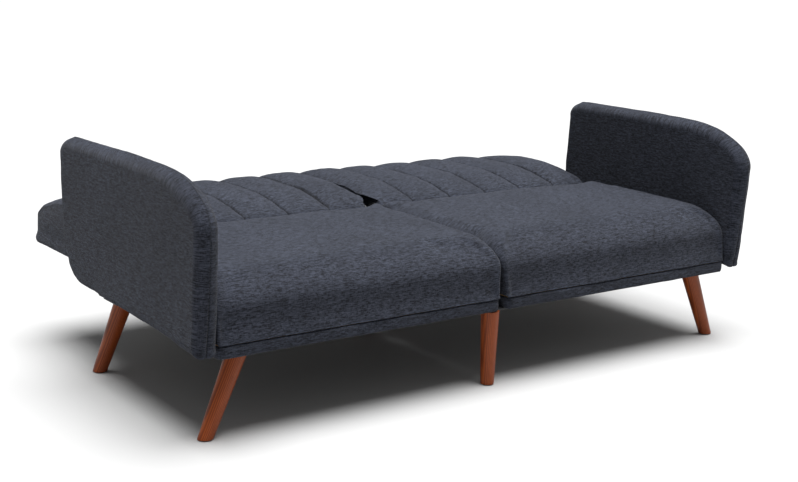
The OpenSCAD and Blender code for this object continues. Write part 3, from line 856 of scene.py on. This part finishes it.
def roundedLoop(x0, x1, y0, y1, radius, step):
    # Points round a rectangle with round corners, anticlockwise from above, with their outward directions
    points, outward = [], []
    for cx, cy, start in ((x1 - radius, y0 + radius, -90), (x1 - radius, y1 - radius, 0),
                          (x0 + radius, y1 - radius, 90), (x0 + radius, y0 + radius, 180)):
        for turn in np.radians(np.linspace(start, start + 90, 7)):
            points.append((cx + radius * math.cos(turn), cy + radius * math.sin(turn)))
    points = np.array(points + points[:1])
    run = np.concatenate([[0], np.cumsum(np.linalg.norm(np.diff(points, axis=0), axis=1))])
    even = np.linspace(0, run[-1], round(run[-1] / step) + 1)[:-1]
    loop = np.stack([np.interp(even, run, points[:, k]) for k in (0, 1)], 1)
    ahead = np.roll(loop, -1, axis=0) - np.roll(loop, 1, axis=0)
    ahead /= np.linalg.norm(ahead, axis=1)[:, None]
    return loop, np.stack([ahead[:, 1], -ahead[:, 0]], 1), even


def bandLoop(side):
    low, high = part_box(side + "_seat_band")
    corner, step = bandShape["corner"], bandShape["step"]
    return low, high, roundedLoop(low.x, high.x, low.y, high.y, corner, step)


def sweepLoop(name, loop, outward, even, section, wobble, material):
    # A closed section of (outward, height) points carried round a loop, with the weave's map
    count, steps = len(section), len(loop)
    rings = []
    for out, height in section:
        flat = loop + outward * (out + wobble[:, 0, None])
        sway = wobble[:, 1] * (height < section[:, 1].mean())
        rings.append(np.column_stack([flat, np.full(steps, height) + sway]))
    points = np.stack(rings, 1).reshape(-1, 3)
    a = np.arange(steps)[:, None] * count + np.arange(count)[None, :]
    b = np.roll(a, -1, axis=0)
    faces = np.stack([a, b, np.roll(b, -1, axis=1), np.roll(a, -1, axis=1)], -1).reshape(-1, 4)
    made = makeMesh(name, points, faces, material)
    girth = np.concatenate([[0], np.cumsum(np.linalg.norm(np.diff(section, axis=0), axis=1))])
    step = even[1] - even[0]
    row, column = np.divmod(np.arange(len(faces)), count)
    close = np.linalg.norm(section[0] - section[-1])
    u = np.stack([row * step, (row + 1) * step, (row + 1) * step, row * step], 1)
    after = np.where(column + 1 < count, girth[(column + 1) % count], girth[-1] + close)
    v = np.stack([girth[column], girth[column], after, after], 1)
    uv = np.stack([u, v], -1).astype(np.float32)
    made.data.uv_layers.new(name="weave").data.foreach_set("uv", uv.ravel())
    return made


def makeBand(side):
    s = bandShape
    low, high, (loop, outward, even) = bandLoop(side)
    heights = np.linspace(low.z, high.z, 9)
    t = (heights - low.z) / (high.z - low.z)
    outer = s["bulge"] * (1 - (2 * t - 1) ** 4) - 0.6 * mm
    face = np.column_stack([outer, heights])
    behind = -s["thick"]
    inner = np.array([[behind + 1.5 * mm, high.z - 0.4 * mm], [behind, high.z - 4 * mm],
                      [behind, low.z + 4 * mm], [behind + 1.5 * mm, low.z + 0.4 * mm]])
    section = np.vstack([face, inner])
    spots = np.column_stack([loop, np.zeros(len(loop))])
    seed = s["seeds"][side]
    wobble = s["wave"] * np.column_stack([ripple(spots, 0.14, seed), ripple(spots, 0.11, seed + 1)])
    made = sweepLoop(side + "_seat_hem", loop, outward, even, section, wobble, slateLinen)
    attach(made, "base")
    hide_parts(side + "_seat_band")


for bandSide in ("left", "right"):
    makeBand(bandSide)
print("bands made")

# Dust cloths under the seats and linings under the backs

clothShape = {"step": 14 * mm, "thick": 0.8 * mm, "seatSag": 3.5 * mm, "backSag": 2.0 * mm,
              "pucker": 0.5 * mm, "seeds": {"left": 80, "right": 90}}


def makeDustCloth(side, node, name, body, sag):
    s = clothShape
    low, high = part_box(node)
    xs, ys = (np.linspace(a, b, round((b - a) / s["step"]) + 1) for a, b in ((low.x, high.x), (low.y, high.y)))
    x, y = (grid.ravel() for grid in np.meshgrid(xs, ys, indexing="ij"))
    edge = np.minimum(np.minimum(x - low.x, high.x - x), np.minimum(y - low.y, high.y - y))
    spots = np.column_stack([x, y, np.zeros(len(x))])
    hang = smoothStep(edge, 32 * mm, 200 * mm) * sag
    puckers = s["pucker"] * ripple(spots, 0.06, s["seeds"][side]) * smoothStep(edge, 24 * mm, 60 * mm)
    z = np.full(len(x), high.z - s["thick"]) - hang - np.abs(puckers)
    top = np.column_stack([x, y, z + s["thick"]])
    bottom = np.column_stack([x, y, z])
    numbers = np.arange(len(x)).reshape(len(xs), len(ys))
    quads = quadsOf(numbers)
    rim = np.concatenate([numbers[:, 0], numbers[-1, 1:], numbers[-2::-1, -1], numbers[0, -2:0:-1]])
    ahead = np.roll(rim, -1)
    walls = np.stack([rim + len(x), ahead + len(x), ahead, rim], 1)
    faces = np.vstack([quads, quads[:, ::-1] + len(x), walls])
    made = makeMesh(name, np.vstack([top, bottom]), faces, dustCloth)
    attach(made, body)
    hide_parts(node)
    return low, high


clothCorners = {}
for clothSide in ("left", "right"):
    clothCorners[clothSide + "_seat"] = makeDustCloth(
        clothSide, clothSide + "_dust_cover", clothSide + "_dust_cloth", "base", clothShape["seatSag"])
    clothCorners[clothSide + "_back"] = makeDustCloth(
        clothSide, clothSide + "_back_lining", clothSide + "_lining_cloth", clothSide + "_back",
        clothShape["backSag"])
print("dust cloths made")

# Stitches and staples by Geometry Nodes


def curveObject(run, closed=False):
    data = bpy.data.curves.new("run", "CURVE")
    data.dimensions = "3D"
    spline = data.splines.new("POLY")
    spline.points.add(len(run) - 1)
    spline.points.foreach_set("co", np.column_stack([run, np.ones(len(run))]).ravel())
    spline.use_cyclic_u = closed
    made = bpy.data.objects.new("run", data)
    bpy.context.scene.collection.objects.link(made)
    return made


def geometryTree(name, sizes):
    # A tree with the given sizes and a material as inputs, and the points at every pitch along its curve
    tree = bpy.data.node_groups.new(name, "GeometryNodeTree")
    kinds = ["NodeSocketGeometry"] + ["NodeSocketFloat"] * len(sizes) + ["NodeSocketMaterial"]
    for label, kind in zip(("Geometry", *sizes, "Material"), kinds):
        tree.interface.new_socket(label, in_out="INPUT", socket_type=kind)
    tree.interface.new_socket("Geometry", in_out="OUTPUT", socket_type="NodeSocketGeometry")
    given = add(tree, "NodeGroupInput").outputs
    spots = add(tree, "GeometryNodeCurveToPoints", [("Curve", given["Geometry"]), ("Length", given["Pitch"])],
                mode="LENGTH").outputs
    return tree, given, spots


def finishTree(tree, given, spots, links):
    links = [("Points", spots["Points"]), ("Rotation", spots["Rotation"])] + links
    placed = add(tree, "GeometryNodeInstanceOnPoints", links).outputs[0]
    real = add(tree, "GeometryNodeRealizeInstances", [(0, placed)]).outputs[0]
    painted = add(tree, "GeometryNodeSetMaterial", [("Geometry", real), ("Material", given["Material"])])
    add(tree, "NodeGroupOutput", [(0, painted.outputs[0])])
    return tree


def stitchTree():
    # A thin spindle of thread at every pitch along each run, lying along it
    tree, given, spots = geometryTree("stitches", ("Pitch", "Length", "Thread"))
    spindle = add(tree, "GeometryNodeMeshUVSphere", [("Segments", 6), ("Rings", 5), ("Radius", 1.0)])
    half = calc(tree, "MULTIPLY", given["Length"], 0.5)
    size = add(tree, "ShaderNodeCombineXYZ", [(0, given["Thread"]), (1, given["Thread"]), (2, half)])
    return finishTree(tree, given, spots, [("Instance", spindle.outputs[0]), ("Scale", size.outputs[0])])


def stapleTree():
    # A staple's crown with its two legs at every pitch along each run, lying along it
    tree, given, spots = geometryTree("staples", ("Pitch", "Crown", "Wire"))
    crown = add(tree, "ShaderNodeCombineXYZ", [(0, given["Wire"]), (1, given["Wire"]), (2, given["Crown"])])
    legDrop = calc(tree, "MULTIPLY", given["Wire"], 3.0)
    leg = add(tree, "ShaderNodeCombineXYZ", [(0, legDrop), (1, given["Wire"]), (2, given["Wire"])])
    join = add(tree, "GeometryNodeJoinGeometry")
    tree.links.new(add(tree, "GeometryNodeMeshCube", [("Size", crown.outputs[0])]).outputs[0], join.inputs[0])
    for way in (-0.5, 0.5):
        offset = add(tree, "ShaderNodeCombineXYZ", [(0, calc(tree, "MULTIPLY", legDrop, 0.4)),
                                                    (2, calc(tree, "MULTIPLY", given["Crown"], way))])
        block = add(tree, "GeometryNodeMeshCube", [("Size", leg.outputs[0])]).outputs[0]
        moved = add(tree, "GeometryNodeTransform", [("Geometry", block), ("Translation", offset.outputs[0])])
        tree.links.new(moved.outputs[0], join.inputs[0])
    return finishTree(tree, given, spots, [("Instance", join.outputs[0])])


def runTree(name, source, tree, body, material, sizes):
    values = {"Material": material} | {size.capitalize(): value for size, value in sizes.items()}
    modifier = source.modifiers.new("repeat", "NODES")
    modifier.node_group = tree
    for item in tree.interface.items_tree:
        if item.in_out == "INPUT" and item.name in values:
            modifier[item.identifier] = values[item.name]
    shown = source.evaluated_get(bpy.context.evaluated_depsgraph_get())
    data = bpy.data.meshes.new_from_object(shown)
    data.name = name
    bpy.data.objects.remove(source)
    made = bpy.data.objects.new(name, data)
    bpy.context.scene.collection.objects.link(made)
    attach(made, body)
    print(name, len(data.polygons), "faces")


def gridRun(grid, *at):
    # The points along one line of a skin; each of at is a line number or a slice
    numbers = grid["numbers"][at]
    return grid["points"][numbers[numbers >= 0]]


stitches = {"pitch": 8.5 * mm, "length": 5.4 * mm, "thread": 0.55 * mm}
staples = {"pitch": 38 * mm, "crown": 10 * mm, "wire": 1.1 * mm}
stapleInset = 11 * mm
stitchNodes, stapleNodes = stitchTree(), stapleTree()


def armRun(grid):
    # Along the seam of an arm, up the front, over the top and down the rear
    x = grid["lines"][0]
    k = int(np.argmin(np.abs(x - (x[0] + x[-1]) / 2)))
    return np.vstack([gridRun(grid, k, 0, slice(3, -1)), gridRun(grid, k, slice(None), -1),
                      gridRun(grid, k, -1, slice(None, 3, -1))])


def hemRun(side):
    low, high, (loop, outward, even) = bandLoop(side)
    loop = loop + outward * bandShape["stitchOut"]
    return np.column_stack([loop, np.full(len(loop), high.z - bandShape["stitchDown"])])


def stapleRun(low, high):
    x0, x1, y0, y1 = low.x + stapleInset, high.x - stapleInset, low.y + stapleInset, high.y - stapleInset
    return np.array([(x0, y0, low.z), (x1, y0, low.z), (x1, y1, low.z), (x0, y1, low.z)]) - [0, 0, 0.3 * mm]


for runSide in ("left", "right"):
    runTree(runSide + "_arm_stitches", curveObject(armRun(armGrids[runSide])), stitchNodes, "base",
            threadMaterial, stitches)
    runTree(runSide + "_hem_stitches", curveObject(hemRun(runSide), True), stitchNodes, "base",
            threadMaterial, stitches)
for clothName, corners in clothCorners.items():
    clothBody = "base" if clothName.endswith("seat") else clothName
    runTree(clothName + "_staples", curveObject(stapleRun(*corners), True), stapleNodes, clothBody,
            zincSteel, staples)
print("stitches and staples made")

# Floor and light

lightPlan = {"sky": 0.3, "background": 1.05, "sun": 8.6, "sunAngle": 50, "sunFrom": (0.05, 0.0, 1.0),
             "floor": (0.36, 0.375)}


def makeFloor(shades):
    half = 14
    points = np.array([(-half, -half, 0), (half, -half, 0), (half, half, 0), (-half, half, 0)], float)
    material, tree, shader = startMaterial("pale floor", Roughness=0.8)
    here = add(tree, "ShaderNodeTexCoord").outputs["Object"]
    tone = remap(tree, noiseOf(tree, here, 0.6, 2.0), 0.3, 0.7)
    low, high = ((shade, shade, shade, 1) for shade in shades)
    tree.links.new(mixColour(tree, tone, low, high), shader.inputs["Base Color"])
    makeMesh("floor", points, np.array([[0, 1, 2, 3]]), material)


def makeStage(s):
    # A wide soft light overhead and a sky that is dimmer than the backdrop the camera sees
    makeFloor(s["floor"])
    world = bpy.data.worlds.new("studio")
    world.use_nodes = True
    tree = world.node_tree
    seen = add(tree, "ShaderNodeLightPath").outputs["Is Camera Ray"]
    glow = tree.nodes["Background"].inputs
    tree.links.new(remap(tree, seen, 0, 1, s["sky"], s["background"]), glow["Strength"])
    glow["Color"].default_value = (1, 1, 1, 1)
    bpy.context.scene.world = world
    data = bpy.data.lights.new("sun", "SUN")
    data.energy, data.angle = s["sun"], math.radians(s["sunAngle"])
    sun = bpy.data.objects.new("sun", data)
    sun.rotation_mode = "QUATERNION"
    sun.rotation_quaternion = Vector(s["sunFrom"]).to_track_quat("Z", "Y")
    bpy.context.scene.collection.objects.link(sun)
    bpy.context.scene.view_settings.view_transform = "Standard"


makeStage(lightPlan)
print("stage made")
